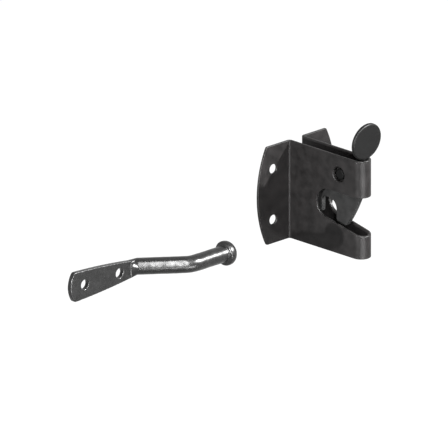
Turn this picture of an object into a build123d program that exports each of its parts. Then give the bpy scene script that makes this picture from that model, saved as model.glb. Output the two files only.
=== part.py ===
from build123d import *
import os
from math import cos, radians, sin, sqrt, tan

# An automatic gate catch: a folded steel housing that screws to a gate post, a lifting pawl
# between its cheeks, the rivet that the pawl rides on, and the cranked striker bar that the
# gate carries into the housing's mouth.
# X points out of the post face, Y runs along the gate and Z is up. Heights below are measured
# from the housing's bottom edge. The finished pieces are lowered by half the housing's height,
# so their origin is on the post face, midway between its four screw holes. Millimetres.

# The folded sheet of the housing
sheet = 2.0                 # thickness of the sheet
catch_height = 80.0         # height of cheeks, nose and flanges
catch_width = 15.6          # over the two cheeks
catch_reach = 80.0          # from the post face to the front of the nose
bend_radius = 1.2           # inside radius of the two flange bends

# The two screw flanges
flange_end_width = 24.7     # beyond the cheek, at the top and bottom corners
flange_mid_width = 34.4     # beyond the cheek, at half height
flange_corner_round = 2.0
screw_hole = 7.6            # diameter of the screw holes in the flanges
screw_offset = 17.7         # from the cheek to the line of its flange's screw holes
screw_spacing = 41.4        # between the two holes of one flange

# The mouth that takes the rod
mouth_round = 11.6          # radius of its rear end
mouth_centre_x = 43.1       # centre of that round
mouth_centre_z = 38.2
mouth_slope = 12.0          # fall of the lower lip towards the front, degrees

# The rivet and the pressed seats that it holds together
rivet_x = 55.4
rivet_z = 64.7
rivet_shank = 5.0           # diameter
rivet_head = 9.0            # diameter
rivet_head_height = 3.2
rivet_head_bevel = 1.0      # round the rim of each head
seat_bore = 12.4            # diameter of the pressed recess in the cheek
seat_wall = 1.5             # wall of that recess
rivet_clearance = 0.05      # radial, round the shank in the seats
slot_clearance = 0.1        # radial, round the shank in the pawl's slot
side_clearance = 0.15       # between the pawl and each seat

# The pawl
pawl_thickness = 4.0
pawl_lift = 14.8            # travel that lets the rod pass under the hook
pawl_nose_clearance = 0.3   # between the pawl's shoulder and the inside of the nose
hook_front_radius = 130.0   # curve of the leading edge
hook_tip_x = 58.0           # lower end of the leading edge
hook_tip_z = 22.2
hook_tip_round = 1.6
hook_heel_rise = 1.0        # fall of the hook's underside from the notch to its tip
hook_heel_round = 3.2
shoulder_z = 60.0           # where the leading edge reaches the shoulder
notch_rear_x = 31.6         # rear wall of the notch that straddles the rod
notch_width = 15.6
notch_top_z = 40.8
notch_round = 8.0           # front upper corner of the notch
notch_rear_round = 2.6      # rear upper corner of the notch
rear_lobe_width = 8.4       # metal behind the notch
rear_lobe_drop = 13.5       # how far that metal hangs below the top of the notch
rear_lobe_round = 3.2
pawl_back_z = 55.0          # height of the pawl's rear shoulder
pawl_back_round = 12.0
pawl_top_margin = 8.6       # metal above the rivet
pawl_top_run = 12.0         # level top edge behind the rivet
pawl_top_round = 6.0
neck_flare = 4.0            # slope from that edge up to the neck
neck_round = 4.0
neck_width = 8.0
neck_height = 7.5           # twisted part between the plate and the thumb disc

# The thumb disc
disc_radius = 15.0
disc_thickness = 3.2
disc_gap = 0.4              # between the disc and the top of the nose
disc_x = 77.9               # middle of its thickness
disc_tilt = 7.5             # its top leans forward, degrees
disc_bevel = 0.7            # round both rims

# The striker bar
rod_diameter = 13.2
crank_out = 28.5            # sideways step from the plate to the engaging run
crank_along = 35.5          # length of that step along the bar
engaging_run = 39.4         # straight run that ends at the head
bar_bend_radius = 16.0      # to the rod's centre line
plate_length = 69.0         # from its rounded end to the rod
plate_thickness = 4.0
plate_width = 24.0          # at the wide end
plate_mid_width = 20.4      # halfway
plate_root_width = 14.0     # where the rod begins
plate_drop = 1.3            # its middle line below the rod's
plate_end_radius = 19.0
plate_corner_round = 3.0
plate_hole = 8.0            # diameter of the screw holes
plate_hole_inset = 15.2     # from the rounded end to the first screw hole
plate_hole_spacing = 37.9
neck_length = 7.0           # forged change from flat plate to round rod
head_diameter = 19.5
head_rim = 4.4              # straight part of the head
head_dome = 6.0             # rise of its domed face
head_bevel = 0.8
striker_x = 60.6            # where the striker stands beside the catch: its head
striker_y = -134.5

# Sizes that follow from the ones above
half_width = catch_width / 2
inner_half = half_width - sheet
nose_centre_x = catch_reach - half_width
flange_half_span = half_width + flange_mid_width
screw_y = half_width + screw_offset
screw_low_z = (catch_height - screw_spacing) / 2
cut_depth = 2 * flange_half_span
seat_face_y = pawl_thickness / 2 + side_clearance
seat_radius = seat_bore / 2 + seat_wall
shank_radius = rivet_shank / 2
rod_radius = rod_diameter / 2
rod_z = mouth_centre_z - mouth_round + rod_radius
plate_z = rod_z - plate_drop
notch_front_x = notch_rear_x + notch_width
pawl_corner_x = nose_centre_x + sqrt(inner_half**2 - (pawl_thickness / 2) ** 2)
shoulder_x = pawl_corner_x - pawl_nose_clearance
neck_rear_x = shoulder_x - neck_width
heel_z = hook_tip_z + hook_heel_rise
lobe_x = notch_rear_x - rear_lobe_width
lobe_z = notch_top_z - rear_lobe_drop
pawl_top_z = rivet_z + pawl_top_margin
disc_z = catch_height + disc_gap + disc_radius


def housing_plan():
    """The folded sheet seen from above: flange, cheek, nose, cheek and flange."""
    cheeks = Pos(nose_centre_x / 2, 0) * Rectangle(nose_centre_x, catch_width)
    outer = cheeks + Pos(nose_centre_x, 0) * Circle(half_width)
    outer += Pos(sheet / 2, 0) * Rectangle(sheet, 2 * flange_half_span)
    gap = Pos(nose_centre_x / 2, 0) * Rectangle(nose_centre_x, 2 * inner_half)
    plan = outer - (gap + Pos(nose_centre_x, 0) * Circle(inner_half))
    inside = [v for v in plan.vertices() if abs(v.X - sheet) < 0.01 and abs(v.Y) < half_width + 0.01]
    plan = fillet(inside, bend_radius)
    outside = [v for v in plan.vertices() if abs(v.X) < 0.01 and abs(v.Y) < inner_half + 0.01]
    return fillet(outside, bend_radius + sheet)


def flange_outline():
    """The housing seen from the front: two flanges with bowed outer edges."""
    corner_y = half_width + flange_end_width
    top = Polyline((-corner_y, catch_height), (corner_y, catch_height))
    right = ThreePointArc(
        (corner_y, catch_height), (flange_half_span, catch_height / 2), (corner_y, 0)
    )
    bottom = Polyline((corner_y, 0), (-corner_y, 0))
    left = ThreePointArc(
        (-corner_y, 0), (-flange_half_span, catch_height / 2), (-corner_y, catch_height)
    )
    outline = make_face(Curve() + [top, right, bottom, left])
    return fillet(outline.vertices(), flange_corner_round)


def mouth_outline():
    """The mouth seen from the side: level upper edge, round rear, falling lower lip."""
    slope = radians(mouth_slope)
    front_x = catch_reach + sheet
    top_z = mouth_centre_z + mouth_round
    lip_x = mouth_centre_x - mouth_round * sin(slope)
    lip_z = mouth_centre_z - mouth_round * cos(slope)
    front_lip_z = lip_z - (front_x - lip_x) * tan(slope)
    throat = Polyline(
        (mouth_centre_x, top_z), (front_x, top_z), (front_x, front_lip_z), (lip_x, lip_z),
        (mouth_centre_x, mouth_centre_z), close=True,
    )
    return make_face(throat) + Pos(mouth_centre_x, mouth_centre_z) * Circle(mouth_round)


def across(sketch, depth):
    """A side view turned into a solid that reaches depth to each side of the mid-plane."""
    return extrude(Plane.XZ * sketch, depth, both=True)


def housing():
    """One folded sheet with a mouth, screw holes and a pressed rivet seat in each cheek."""
    body = extrude(housing_plan(), catch_height)
    body &= extrude(Plane.YZ * flange_outline(), catch_reach)
    body -= across(mouth_outline(), cut_depth)
    for side in (-1, 1):
        for z in (screw_low_z, screw_low_z + screw_spacing):
            hole = Plane.YZ * Pos(side * screw_y, z) * Circle(screw_hole / 2)
            body -= extrude(hole, 2 * sheet, both=True)
        body += side_disc(seat_radius, side * seat_face_y, side * inner_half)
        floor_y = seat_face_y + seat_wall
        body -= side_disc(seat_bore / 2, side * floor_y, side * cut_depth)
        body -= side_disc(shank_radius + rivet_clearance, 0, side * cut_depth)
    return body


def side_disc(radius, from_y, to_y):
    """A round slug on the rivet's axis, between two distances from the mid-plane."""
    face = Plane((rivet_x, from_y, rivet_z), z_dir=(0, 1, 0)) * Circle(radius)
    return extrude(face, to_y - from_y)


def rivet():
    """Plain shank with a bevelled head in each pressed seat."""
    floor_y = seat_face_y + seat_wall
    body = side_disc(shank_radius, -floor_y, floor_y)
    for side in (-1, 1):
        head = side_disc(rivet_head / 2, side * floor_y, side * (floor_y + rivet_head_height))
        rim = head.edges().filter_by(GeomType.CIRCLE).sort_by(lambda e: side * e.center().Y)[-1]
        body += chamfer(rim, rivet_head_bevel)
    return body


def pawl_outline():
    """The flat of the pawl seen from the side, without its slot."""
    leading = RadiusArc((shoulder_x, shoulder_z), (hook_tip_x, hook_tip_z), hook_front_radius)
    rest = Polyline(
        (hook_tip_x, hook_tip_z), (notch_front_x, heel_z), (notch_front_x, notch_top_z),
        (notch_rear_x, notch_top_z), (notch_rear_x, lobe_z), (lobe_x, lobe_z),
        (lobe_x, pawl_back_z), (rivet_x - pawl_top_run, pawl_top_z),
        (neck_rear_x - neck_flare, pawl_top_z), (neck_rear_x, catch_height),
        (shoulder_x, catch_height), (shoulder_x, shoulder_z),
    )
    return make_face(Curve() + [leading, rest])


def rounded(outline, place, radius):
    """The outline with the corner nearest to place rounded."""
    corner = min(outline.vertices(), key=lambda v: (v.X - place[0]) ** 2 + (v.Y - place[1]) ** 2)
    return fillet(corner, radius)


def pawl():
    """Flat hook plate, slotted for the rivet, with a twisted neck and a thumb disc."""
    flat = pawl_outline()
    flat = rounded(flat, (notch_front_x, notch_top_z), notch_round)
    flat = rounded(flat, (notch_rear_x, notch_top_z), notch_rear_round)
    flat = rounded(flat, (hook_tip_x, hook_tip_z), hook_tip_round)
    flat = rounded(flat, (notch_front_x, heel_z), hook_heel_round)
    flat = rounded(flat, (notch_rear_x, lobe_z), hook_tip_round)
    flat = rounded(flat, (lobe_x, lobe_z), rear_lobe_round)
    flat = rounded(flat, (lobe_x, pawl_back_z), pawl_back_round)
    flat = rounded(flat, (rivet_x - pawl_top_run, pawl_top_z), pawl_top_round)
    flat = rounded(flat, (neck_rear_x - neck_flare, pawl_top_z), neck_round)
    slot_radius = shank_radius + slot_clearance
    slot = Pos(rivet_x, rivet_z) * Circle(slot_radius)
    slot += Pos(rivet_x, rivet_z - pawl_lift) * Circle(slot_radius)
    slot += Pos(rivet_x, rivet_z - pawl_lift / 2) * Rectangle(2 * slot_radius, pawl_lift)
    return across(flat - slot, pawl_thickness / 2) + neck() + thumb_disc()


def neck():
    """The twist that turns the plate's stem into the disc."""
    root_z = catch_height + neck_height
    root_x = disc_x - (disc_z - root_z) * tan(radians(disc_tilt))
    stem = Pos(shoulder_x - neck_width / 2, 0, catch_height) * Rectangle(neck_width, pawl_thickness)
    root = Pos(root_x, 0, root_z) * Rectangle(disc_thickness, neck_width)
    return loft([stem, root])


def thumb_disc():
    """The round thumb plate, nearly face on to the front."""
    lean = radians(disc_tilt)
    face = Plane((disc_x, 0, disc_z), z_dir=(cos(lean), 0, -sin(lean))) * Circle(disc_radius)
    disc = extrude(face, disc_thickness / 2, both=True)
    return chamfer(disc.edges().filter_by(GeomType.CIRCLE), disc_bevel)


def striker():
    """One forging: screw plate, cranked round rod and domed head."""
    plate_x = striker_x - crank_out
    bend_y = striker_y - engaging_run
    rod_start_y = bend_y - crank_along
    crank = Vector(crank_out, crank_along).normalized()
    rod_start = Vector(plate_x, rod_start_y, rod_z) + crank * (neck_length / 2)
    path = FilletPolyline(
        rod_start, (striker_x, bend_y, rod_z), (striker_x, striker_y, rod_z),
        radius=bar_bend_radius,
    )
    rod = sweep(Plane(origin=path @ 0, z_dir=path % 0) * Circle(rod_radius), path=path)
    plate_end_y = rod_start_y - neck_length / 2
    flat = Plane((plate_x, plate_end_y, plate_z), x_dir=(1, 0, 0), z_dir=(0, 1, 0)) * Rectangle(
        plate_thickness, plate_root_width
    )
    round_end = Plane(origin=path @ 0, x_dir=(0, 0, 1), z_dir=path % 0) * Circle(rod_radius)
    return striker_plate(plate_x, plate_end_y) + loft([flat, round_end]) + rod + striker_head()


def striker_plate(plate_x, plate_end_y):
    """The widening flat of the striker with its two screw holes."""
    far_y = plate_end_y - plate_length + neck_length / 2
    corner_y = far_y + plate_end_radius - sqrt(plate_end_radius**2 - (plate_width / 2) ** 2)
    mid_y = (corner_y + plate_end_y) / 2
    lower = ThreePointArc(
        (corner_y, -plate_width / 2), (mid_y, -plate_mid_width / 2),
        (plate_end_y, -plate_root_width / 2),
    )
    root = Line((plate_end_y, -plate_root_width / 2), (plate_end_y, plate_root_width / 2))
    upper = ThreePointArc(
        (plate_end_y, plate_root_width / 2), (mid_y, plate_mid_width / 2),
        (corner_y, plate_width / 2),
    )
    end = ThreePointArc((corner_y, plate_width / 2), (far_y, 0), (corner_y, -plate_width / 2))
    outline = make_face(Curve() + [lower, root, upper, end])
    for z in (-plate_width / 2, plate_width / 2):
        outline = rounded(outline, (corner_y, z), plate_corner_round)
    for hole_y in (far_y + plate_hole_inset, far_y + plate_hole_inset + plate_hole_spacing):
        outline -= Pos(hole_y, 0) * Circle(plate_hole / 2)
    back = Plane((plate_x, 0, plate_z), x_dir=(0, 1, 0), z_dir=(1, 0, 0))
    return extrude(back * outline, plate_thickness / 2, both=True)


def striker_head():
    """Mushroom head: a short rim with a domed face, turned about the rod's own axis."""
    radius = head_diameter / 2
    dome_radius = (radius**2 + head_dome**2) / (2 * head_dome)
    profile = make_face(
        Curve()
        + [
            Polyline((0, -head_rim), (radius, -head_rim), (radius, 0)),
            RadiusArc((radius, 0), (0, head_dome), -dome_radius),
            Line((0, head_dome), (0, -head_rim)),
        ]
    )
    rim = [v for v in profile.vertices() if v.X > radius - 0.01]
    profile = chamfer(rim, head_bevel)
    end = Plane((striker_x, striker_y, rod_z), x_dir=(1, 0, 0), z_dir=(0, 0, 1))
    return revolve(end * profile, Axis((striker_x, striker_y, rod_z), (0, 1, 0)))


def write_parts():
    """Build every piece and write each one to its own file."""
    pieces = {
        "housing": housing(),
        "pawl": pawl(),
        "pivot_rivet": rivet(),
        "striker_bar": striker(),
    }
    os.makedirs("parts", exist_ok=True)
    for name, built in pieces.items():
        piece = Pos(0, 0, -catch_height / 2) * built
        export_step(piece, f"parts/{name}.step")
        size = piece.bounding_box().size
        print(f"{name}: {piece.volume:.0f} mm3, {size.X:.1f} x {size.Y:.1f} x {size.Z:.1f} mm")


write_parts()
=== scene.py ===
# %% [markdown]
# # An automatic gate catch and its striker bar
#
# The catch is a folded steel sheet that screws to a gate post. Between its two cheeks hangs a
# hook plate, the pawl, with a round thumb disc on top. The gate carries the striker bar, whose
# round rod pushes into the mouth, lifts the pawl and is held when the pawl drops.
#
# The engineering model already holds every piece at its true size, so the first step is to
# load it. Everything here is in metres, in that model's own frame.

# %% Load the frame
from math import cos, radians, sin

import bpy
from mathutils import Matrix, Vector


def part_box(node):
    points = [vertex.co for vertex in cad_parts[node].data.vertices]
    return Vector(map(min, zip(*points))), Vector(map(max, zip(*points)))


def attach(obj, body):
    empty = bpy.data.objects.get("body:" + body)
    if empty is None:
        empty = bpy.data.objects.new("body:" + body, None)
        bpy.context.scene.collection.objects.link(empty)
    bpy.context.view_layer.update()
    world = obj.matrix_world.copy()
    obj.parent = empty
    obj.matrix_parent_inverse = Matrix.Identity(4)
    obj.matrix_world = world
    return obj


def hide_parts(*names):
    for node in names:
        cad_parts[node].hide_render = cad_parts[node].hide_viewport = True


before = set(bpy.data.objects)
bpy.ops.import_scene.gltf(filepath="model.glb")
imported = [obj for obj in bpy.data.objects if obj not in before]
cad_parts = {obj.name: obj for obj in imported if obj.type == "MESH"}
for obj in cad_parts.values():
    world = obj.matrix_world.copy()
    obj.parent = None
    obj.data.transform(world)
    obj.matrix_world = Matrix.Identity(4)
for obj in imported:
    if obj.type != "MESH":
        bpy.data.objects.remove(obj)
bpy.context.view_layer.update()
MM = 0.001
print("nodes:", ", ".join(sorted(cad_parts)))

# %% [markdown]
# ## Working on a copy
#
# The loaded meshes are loose triangles: good for measuring, but an edge that no face shares
# can't be rounded. Real sheet metal never has a perfectly sharp edge. The press rolls one side
# of a cut over and leaves a small burr on the other, and paint fills what is left, so every edge
# catches a thin line of light. To get that line, each piece is copied, its doubled points are
# merged, flat areas are dissolved back into single faces, and the true edges are bevelled.
#
# An operator acts on all that is selected, so a small function first selects one object alone.

# %% Select one object alone
def only(piece):
    bpy.ops.object.select_all(action="DESELECT")
    piece.select_set(True)
    bpy.context.view_layer.objects.active = piece


# %% Copy a node and merge its points
MERGE_DISTANCE = 0.002 * MM
FLAT_ANGLE = radians(0.6)


def worked_copy(name, node):
    piece = bpy.data.objects.new(name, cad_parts[node].data.copy())
    bpy.context.scene.collection.objects.link(piece)
    piece.data.materials.clear()
    only(piece)
    bpy.ops.mesh.customdata_custom_splitnormals_clear()
    bpy.ops.object.mode_set(mode="EDIT")
    bpy.ops.mesh.select_all(action="SELECT")
    bpy.ops.mesh.remove_doubles(threshold=MERGE_DISTANCE)
    bpy.ops.mesh.dissolve_limited(angle_limit=FLAT_ANGLE)
    bpy.ops.object.mode_set(mode="OBJECT")
    print(name, "has", len(piece.data.polygons), "faces after merging")
    return piece


# %% Add a modifier and apply it
def finish_with(piece, kind, **settings):
    only(piece)
    modifier = piece.modifiers.new(kind.lower(), kind)
    for key, value in settings.items():
        setattr(modifier, key, value)
    bpy.ops.object.modifier_apply(modifier=modifier.name)


# %% Round the edges of a pressed or turned piece
# Only edges that turn by more than EDGE_ANGLE are rounded, so the facets of a bend stay whole.
EDGE_ANGLE = radians(35)
SHADE_ANGLE = radians(40)
EDGE_SEGMENTS = 3


def soften_edges(piece, width):
    finish_with(
        piece, "BEVEL", width=width, segments=EDGE_SEGMENTS, limit_method="ANGLE",
        angle_limit=EDGE_ANGLE, use_clamp_overlap=False, miter_outer="MITER_ARC",
    )
    only(piece)
    bpy.ops.object.shade_smooth_by_angle(angle=SHADE_ANGLE)
    finish_with(piece, "WEIGHTED_NORMAL", keep_sharp=True)
    print(piece.name, "has", len(piece.data.polygons), "faces when finished")


# %% [markdown]
# ## The folded housing
#
# One strip of 2 mm steel, bent three times: folded at the foot of each cheek, where the screw
# flanges turn out, and bent round at the nose. The bends keep the sheet's thickness, and the
# mouth is cut through both cheeks and the nose. A bevel of about half a millimetre is what a
# sheared, tumbled and painted edge shows.

# %% Make the housing
SHEET_EDGE = 0.6 * MM

housing = worked_copy("folded_housing", "housing")
soften_edges(housing, SHEET_EDGE)
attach(housing, "catch")
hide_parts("housing")

# %% [markdown]
# ## The rivet
#
# Its head sits at the bottom of a recess that is pressed into the cheek. It is a small turned
# part with a chamfered head, so the same small rounding of its edges is all that it needs.

# %% Make the rivet
RIVET_EDGE = 0.15 * MM

rivet = worked_copy("pivot_rivet_turned", "pivot_rivet")
soften_edges(rivet, RIVET_EDGE)
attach(rivet, "catch")
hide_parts("pivot_rivet")

# %% [markdown]
# ## The pawl
#
# The pawl was cut from 4 mm plate, and its stem was twisted and forged out into the thumb disc.
# Forging leaves no crisp line where stem and disc meet. The edges are rounded first. A voxel
# remesh then turns the whole piece into one even skin, and a little smoothing melts such lines,
# as heat and hammer do.

# %% Round a forged piece and turn it into one even skin
FORGED_ANGLE = radians(50)
FORGED_SEGMENTS = 2
SMOOTH_STEP = 0.5


def forged_skin(piece, edge, voxel, smoothing):
    finish_with(
        piece, "BEVEL", width=edge, segments=FORGED_SEGMENTS, limit_method="ANGLE",
        angle_limit=FORGED_ANGLE,
    )
    finish_with(piece, "REMESH", mode="VOXEL", voxel_size=voxel, adaptivity=0.0)
    finish_with(piece, "SMOOTH", factor=SMOOTH_STEP, iterations=smoothing)
    only(piece)
    bpy.ops.object.shade_smooth()
    print(piece.name, "has", len(piece.data.polygons), "faces as one skin")


# %% Make the pawl
PAWL_EDGE = 0.4 * MM
PAWL_VOXEL = 0.33 * MM
PAWL_SMOOTHING = 3

pawl = worked_copy("hook_pawl", "pawl")
forged_skin(pawl, PAWL_EDGE, PAWL_VOXEL, PAWL_SMOOTHING)
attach(pawl, "hook")
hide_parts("pawl")

# %% [markdown]
# ## The striker bar
#
# The bar is one forging: a round rod with a mushroom head, flattened at its other end into a
# screw plate. The rod kept the slight waves of the forge under its paint, and they break up its
# bright streak of reflected light. Waves that shift a reflection must be real geometry to show
# from every side, so a cloud texture moves the skin of the rod outwards by up to 0.16 mm. That
# also gives back what the smoothing before it takes off the rod. The screw plate was pressed
# flat, so a vertex group keeps both the extra smoothing and the waves off it.

# %% Mark the round part of the bar
# The share grows from nothing at the plate's end to all of it one fade length further on.
PLATE_LENGTH = 69 * MM
ROD_FADE = 6 * MM
bar_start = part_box("striker_bar")[0]
ROD_START_Y = bar_start.y + PLATE_LENGTH


def mark_round_part(piece):
    group = piece.vertex_groups.new(name="round_part")
    marked = 0
    for point in piece.data.vertices:
        share = min(max((point.co.y - ROD_START_Y) / ROD_FADE, 0.0), 1.0)
        if share > 0:
            group.add([point.index], share, "REPLACE")
            marked += 1
    print(marked, "of", len(piece.data.vertices), "points are on the round part")
    return group.name


# %% Make the striker bar
BAR_EDGE = 0.7 * MM
BAR_VOXEL = 0.36 * MM
BAR_SMOOTHING = 6
ROD_SMOOTHING = 36

striker = worked_copy("striker_forging", "striker_bar")
forged_skin(striker, BAR_EDGE, BAR_VOXEL, BAR_SMOOTHING)
round_part = mark_round_part(striker)
finish_with(
    striker, "SMOOTH", factor=SMOOTH_STEP, iterations=ROD_SMOOTHING, vertex_group=round_part
)

# %% Add the waves of the forge
# The texture runs from 0 to 1. A middle level of 0 makes all of it move the skin outwards.
WAVE_SIZE = 5.0 * MM
WAVE_DEPTH = 0.16 * MM
WAVE_MIDDLE = 0.0

forge_waves = bpy.data.textures.new("forge_waves", "CLOUDS")
forge_waves.noise_scale = WAVE_SIZE
forge_waves.noise_depth = 0
finish_with(
    striker, "DISPLACE", texture=forge_waves, texture_coords="LOCAL", strength=WAVE_DEPTH,
    mid_level=WAVE_MIDDLE, vertex_group=round_part,
)
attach(striker, "catch")
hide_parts("striker_bar")

# %% [markdown]
# ## Finishes
#
# Everything is mild steel under black lacquer, a stoving paint. Such paint is never one flat
# tone: it pools and thins over a few millimetres, it has an orange-peel skin, and handling
# polishes it a little. One function turns a written colour into the linear value that the
# renderer needs, and another adds a node with its settings and links.

# %% Colour and node helpers
def linear(hex_colour):
    channels = [int(hex_colour[i:i + 2], 16) / 255 for i in (1, 3, 5)]
    straight = [c / 12.92 if c <= 0.04045 else ((c + 0.055) / 1.055) ** 2.4 for c in channels]
    return (*straight, 1.0)


def add_node(tree, kind, settings=None, inputs=None):
    node = tree.nodes.new(kind)
    for key, value in (settings or {}).items():
        setattr(node, key, value)
    for key, value in (inputs or {}).items():
        if isinstance(value, bpy.types.NodeSocket):
            tree.links.new(value, node.inputs[key])
        else:
            node.inputs[key].default_value = value
    return node


# %% [markdown]
# The lacquer has three patterns. Pools of paint a few millimetres wide shift the tone, rubbed
# spots shift the gloss, and the orange peel is a bump. On the pawl a share by height also
# scales the pools: the hook below is painted paler, as painted light, and the disc on top is
# painted darker, as painted shade.

# %% Where the pools of paint lie
POOL_SIZE = 7 * MM
# The hook is painted paler and the disc on top darker, as painted light and painted shade. The
# change fades over this height.
PAINTED_SHADE_FADE = 25 * MM
PAINTED_LIGHT_ON_HOOK = 1.3
PAINTED_SHADE_ON_DISC = 0.1


def pools_and_painted_shade(tree, place, painted_shade_from):
    pools = add_node(
        tree, "ShaderNodeTexNoise", inputs={"Vector": place, "Scale": 1 / POOL_SIZE, "Detail": 4.0}
    ).outputs["Fac"]
    if painted_shade_from is None:
        return pools
    # Painted light and shade by height: below the given height the hook is painted paler, and
    # above it the disc is painted darker.
    height = add_node(tree, "ShaderNodeSeparateXYZ", inputs={"Vector": place}).outputs["Z"]
    painted_shade_by_height = add_node(
        tree, "ShaderNodeMapRange",
        inputs={
            "Value": height, "From Min": painted_shade_from, "From Max": painted_shade_from + PAINTED_SHADE_FADE,
            "To Min": PAINTED_LIGHT_ON_HOOK, "To Max": PAINTED_SHADE_ON_DISC,
        },
    ).outputs["Result"]
    return add_node(
        tree, "ShaderNodeMath", {"operation": "MULTIPLY"}, {0: pools, 1: painted_shade_by_height}
    ).outputs[0]


# %% The lacquer
# The gloss pattern's noise lies mostly between 0.3 and 0.7, and that band spans the roughness.
# Orange peel is a ripple of about one to a few millimetres, and only 0.02 mm deep or less.
SPOT_SIZE = 3 * MM
SPOT_LOW, SPOT_HIGH = 0.3, 0.7
PEEL_SIZE = 1.6 * MM


def black_lacquer(name, dark, light, roughness, spread, peel_depth, specular, painted_shade_from=None):
    material = bpy.data.materials.new(name)
    material.use_nodes = True
    tree = material.node_tree
    shader = tree.nodes["Principled BSDF"]
    place = add_node(tree, "ShaderNodeTexCoord").outputs["Object"]
    share = pools_and_painted_shade(tree, place, painted_shade_from)
    tone = add_node(
        tree, "ShaderNodeMix", {"data_type": "RGBA"},
        {"Factor": share, 6: linear(dark), 7: linear(light)},
    )
    tree.links.new(tone.outputs[2], shader.inputs["Base Color"])
    spots = add_node(
        tree, "ShaderNodeTexNoise", inputs={"Vector": place, "Scale": 1 / SPOT_SIZE, "Detail": 3.0}
    )
    gloss = add_node(
        tree, "ShaderNodeMapRange",
        inputs={
            "Value": spots.outputs["Fac"], "From Min": SPOT_LOW, "From Max": SPOT_HIGH,
            "To Min": roughness - spread, "To Max": roughness + spread,
        },
    )
    tree.links.new(gloss.outputs["Result"], shader.inputs["Roughness"])
    shader.inputs["Specular IOR Level"].default_value = specular
    peel = add_node(
        tree, "ShaderNodeTexNoise", inputs={"Vector": place, "Scale": 1 / PEEL_SIZE, "Detail": 2.0}
    )
    bump = add_node(
        tree, "ShaderNodeBump",
        inputs={"Height": peel.outputs["Fac"], "Distance": peel_depth, "Strength": 1.0},
    )
    tree.links.new(bump.outputs["Normal"], shader.inputs["Normal"])
    return material


# %% [markdown]
# A lacquer reflects at a Specular IOR Level of about 0.5. All of these lie far below it, because
# the surroundings here are white and black paint would mirror them as grey, where the
# photograph's blacks are deep.

# %% Mix the four lacquers
# Sprayed on rolled sheet and stoved: satin, with soft pools and a shallow orange peel.
sheet_lacquer = black_lacquer(
    "satin_black_lacquer_on_sheet", dark="#010101", light="#131212", roughness=0.38, spread=0.06,
    peel_depth=0.02 * MM, specular=0.09,
)
# The same on the cut plate. Its hook is painted paler, as painted light, and its thumb disc
# darker, as painted shade.
HOOK_TOP = 5 * MM
plate_lacquer = black_lacquer(
    "satin_black_lacquer_on_plate", dark="#020202", light="#151515", roughness=0.46, spread=0.05,
    peel_depth=0.02 * MM, specular=0.09, painted_shade_from=HOOK_TOP,
)
# Nothing touches the rivet's head at the bottom of its recess, so it stays dull. Its darker colour
# is painted shade of that recess.
rivet_lacquer = black_lacquer(
    "dull_black_lacquer_on_rivet", dark="#010101", light="#050505", roughness=0.6, spread=0.05,
    peel_depth=0.01 * MM, specular=0.03,
)
# A thicker coat runs smooth over the round forging: glossy, so the rod shows a long streak.
forging_lacquer = black_lacquer(
    "gloss_black_lacquer_on_forging", dark="#030303", light="#0b0b0b", roughness=0.29,
    spread=0.06, peel_depth=0.004 * MM, specular=0.23,
)
print("finishes:", len(bpy.data.materials))

# %% Paint the pieces
# Each engineering node gets its piece's paint too, without a change to its mesh.
for piece, node, material in (
    (housing, "housing", sheet_lacquer), (pawl, "pawl", plate_lacquer),
    (rivet, "pivot_rivet", rivet_lacquer), (striker, "striker_bar", forging_lacquer),
):
    piece.data.materials.append(material)
    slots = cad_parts[node].data.materials
    slots.clear()
    slots.append(material)
    print(piece.name, "is painted with", material.name)

# %% [markdown]
# ## Floor, light and camera
#
# The catch is held at its screws, so the floor lies well below it. What the eye reads on black
# paint is mostly reflection, so the floor is white to the camera and in reflections, but it is a
# dull grey to the lamps, and throws little of their light back up into the shadows.
#
# The Light Path node tells which kind of ray has arrived. The largest of three of its outputs
# is 1 for a ray that the eye follows, and 0 for one that only carries light about.

# %% Tell the eye's rays from the rest
def rays_of_the_eye(tree):
    rays = add_node(tree, "ShaderNodeLightPath").outputs
    seen = rays["Is Camera Ray"]
    for kind in ("Is Glossy Ray", "Is Transmission Ray"):
        seen = add_node(
            tree, "ShaderNodeMath", {"operation": "MAXIMUM"}, {0: seen, 1: rays[kind]}
        ).outputs[0]
    return seen


# %% Floor
# The lamps light its grey a little, so a glow of 0.92 is enough to make it white.
FLOOR_SIZE = 30
FLOOR_DROP = 0.32
FLOOR_GLOW = 0.92
WHITE = (1, 1, 1, 1)

bpy.ops.mesh.primitive_plane_add(size=FLOOR_SIZE, location=(0, 0, -FLOOR_DROP))
floor = bpy.context.object
floor.name = "studio_floor"

pale = bpy.data.materials.new("pale_studio_floor")
pale.use_nodes = True
pale_tree = pale.node_tree
pale_shader = pale_tree.nodes["Principled BSDF"]
pale_shader.inputs["Base Color"].default_value = linear("#2c2c2c")
pale_shader.inputs["Roughness"].default_value = 0.9
pale_shader.inputs["Specular IOR Level"].default_value = 0.0
lift = add_node(
    pale_tree, "ShaderNodeMath", {"operation": "MULTIPLY"},
    {0: rays_of_the_eye(pale_tree), 1: FLOOR_GLOW},
)
pale_shader.inputs["Emission Color"].default_value = WHITE
pale_tree.links.new(lift.outputs[0], pale_shader.inputs["Emission Strength"])
floor.data.materials.append(pale)
print("the floor lies", FLOOR_DROP, "m below the middle of the screw holes")

# %% World light
# White to the eye, and a quarter of that as light from all round.
ROUND_LIGHT = 0.25
SEEN_LIGHT = 1.0

world = bpy.data.worlds.new("plain_studio")
bpy.context.scene.world = world
world.use_nodes = True
world_tree = world.node_tree
backdrop = world_tree.nodes["Background"]
backdrop.inputs["Color"].default_value = WHITE
sky_strength = add_node(
    world_tree, "ShaderNodeMapRange",
    inputs={"Value": rays_of_the_eye(world_tree), "To Min": ROUND_LIGHT, "To Max": SEEN_LIGHT},
)
world_tree.links.new(sky_strength.outputs["Result"], backdrop.inputs["Strength"])
print("light from all round:", ROUND_LIGHT)

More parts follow.
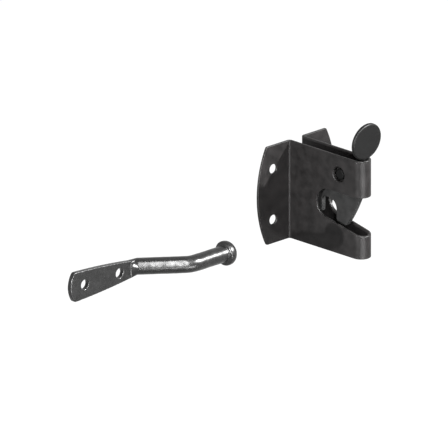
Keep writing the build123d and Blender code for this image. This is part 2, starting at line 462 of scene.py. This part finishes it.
# %% [markdown]
# Four lamps. The right one stands high and casts the cheek's slanting shadow on its flange. The
# left one stands low and throws the bar's shadow on the cheek. The front one draws the long
# streak on the rod: it is tall and narrow, because its height is what widens the streak. A flat
# one below draws the soft bright band down the round nose.
#
# Each lamp faces the middle of the screw holes. Its place is a direction and a distance in
# metres, and its face is an ellipse, with width and height in metres too.

# %% Lamps
def lamp(name, towards, distance, width, height, watts):
    bpy.ops.object.light_add(type="AREA", location=Vector(towards).normalized() * distance)
    light = bpy.context.object
    light.name = name
    light.data.shape = "ELLIPSE"
    light.data.size = width
    light.data.size_y = height
    light.data.energy = watts
    light.rotation_mode = "QUATERNION"
    light.rotation_quaternion = Vector(towards).to_track_quat("Z", "Y")
    print(name, "gives", watts, "W from", distance, "m")


lamp(
    "right_lamp", towards=(0.7215, 0.4473, 0.5288), distance=2.2,
    width=0.08, height=0.08, watts=520,
)
lamp(
    "left_lamp", towards=(0.10, -0.985, 0.136), distance=2.2,
    width=0.05, height=0.05, watts=215,
)
lamp(
    "front_lamp", towards=(0.728, -0.452, 0.515), distance=1.3,
    width=0.25, height=1.9, watts=113,
)
lamp(
    "low_lamp", towards=(0.88, -0.34, -0.33), distance=0.8,
    width=0.7, height=0.12, watts=9,
)

# %% [markdown]
# The photograph shows almost no perspective: edges that are parallel on the catch stay parallel
# in it. So the camera is orthographic. It looks from 45 degrees to the side and 19 degrees
# above. One corner, at the foot of the near cheek, is then put at its own place in the picture,
# which is counted in pixels from the upper left.

# %% Camera
PIXEL = 0.772 * MM
IMAGE = 448
CAMERA_AZIMUTH = radians(45)
CAMERA_ELEVATION = radians(19)
CAMERA_DISTANCE = 2.0
CAMERA_REACH = 100
CHEEK_CORNER = Vector((2 * MM, -7.8 * MM, -40 * MM))
CORNER_PIXEL = (289.6, 238.0)

back = Vector((
    sin(CAMERA_AZIMUTH) * cos(CAMERA_ELEVATION),
    -cos(CAMERA_AZIMUTH) * cos(CAMERA_ELEVATION),
    sin(CAMERA_ELEVATION),
))
right = Vector((cos(CAMERA_AZIMUTH), sin(CAMERA_AZIMUTH), 0))
up = back.cross(right)
target = CHEEK_CORNER + right * (IMAGE / 2 - CORNER_PIXEL[0]) * PIXEL
target += up * (CORNER_PIXEL[1] - IMAGE / 2) * PIXEL

bpy.ops.object.camera_add(location=target + back * CAMERA_DISTANCE)
camera = bpy.context.object
camera.rotation_mode = "QUATERNION"
camera.rotation_quaternion = back.to_track_quat("Z", "Y")
camera.data.type = "ORTHO"
camera.data.ortho_scale = IMAGE * PIXEL
camera.data.clip_end = CAMERA_REACH
bpy.context.scene.camera = camera
print("picture width in mm:", round(camera.data.ortho_scale / MM, 1))

# %% Look
bpy.context.scene.view_settings.view_transform = "Standard"
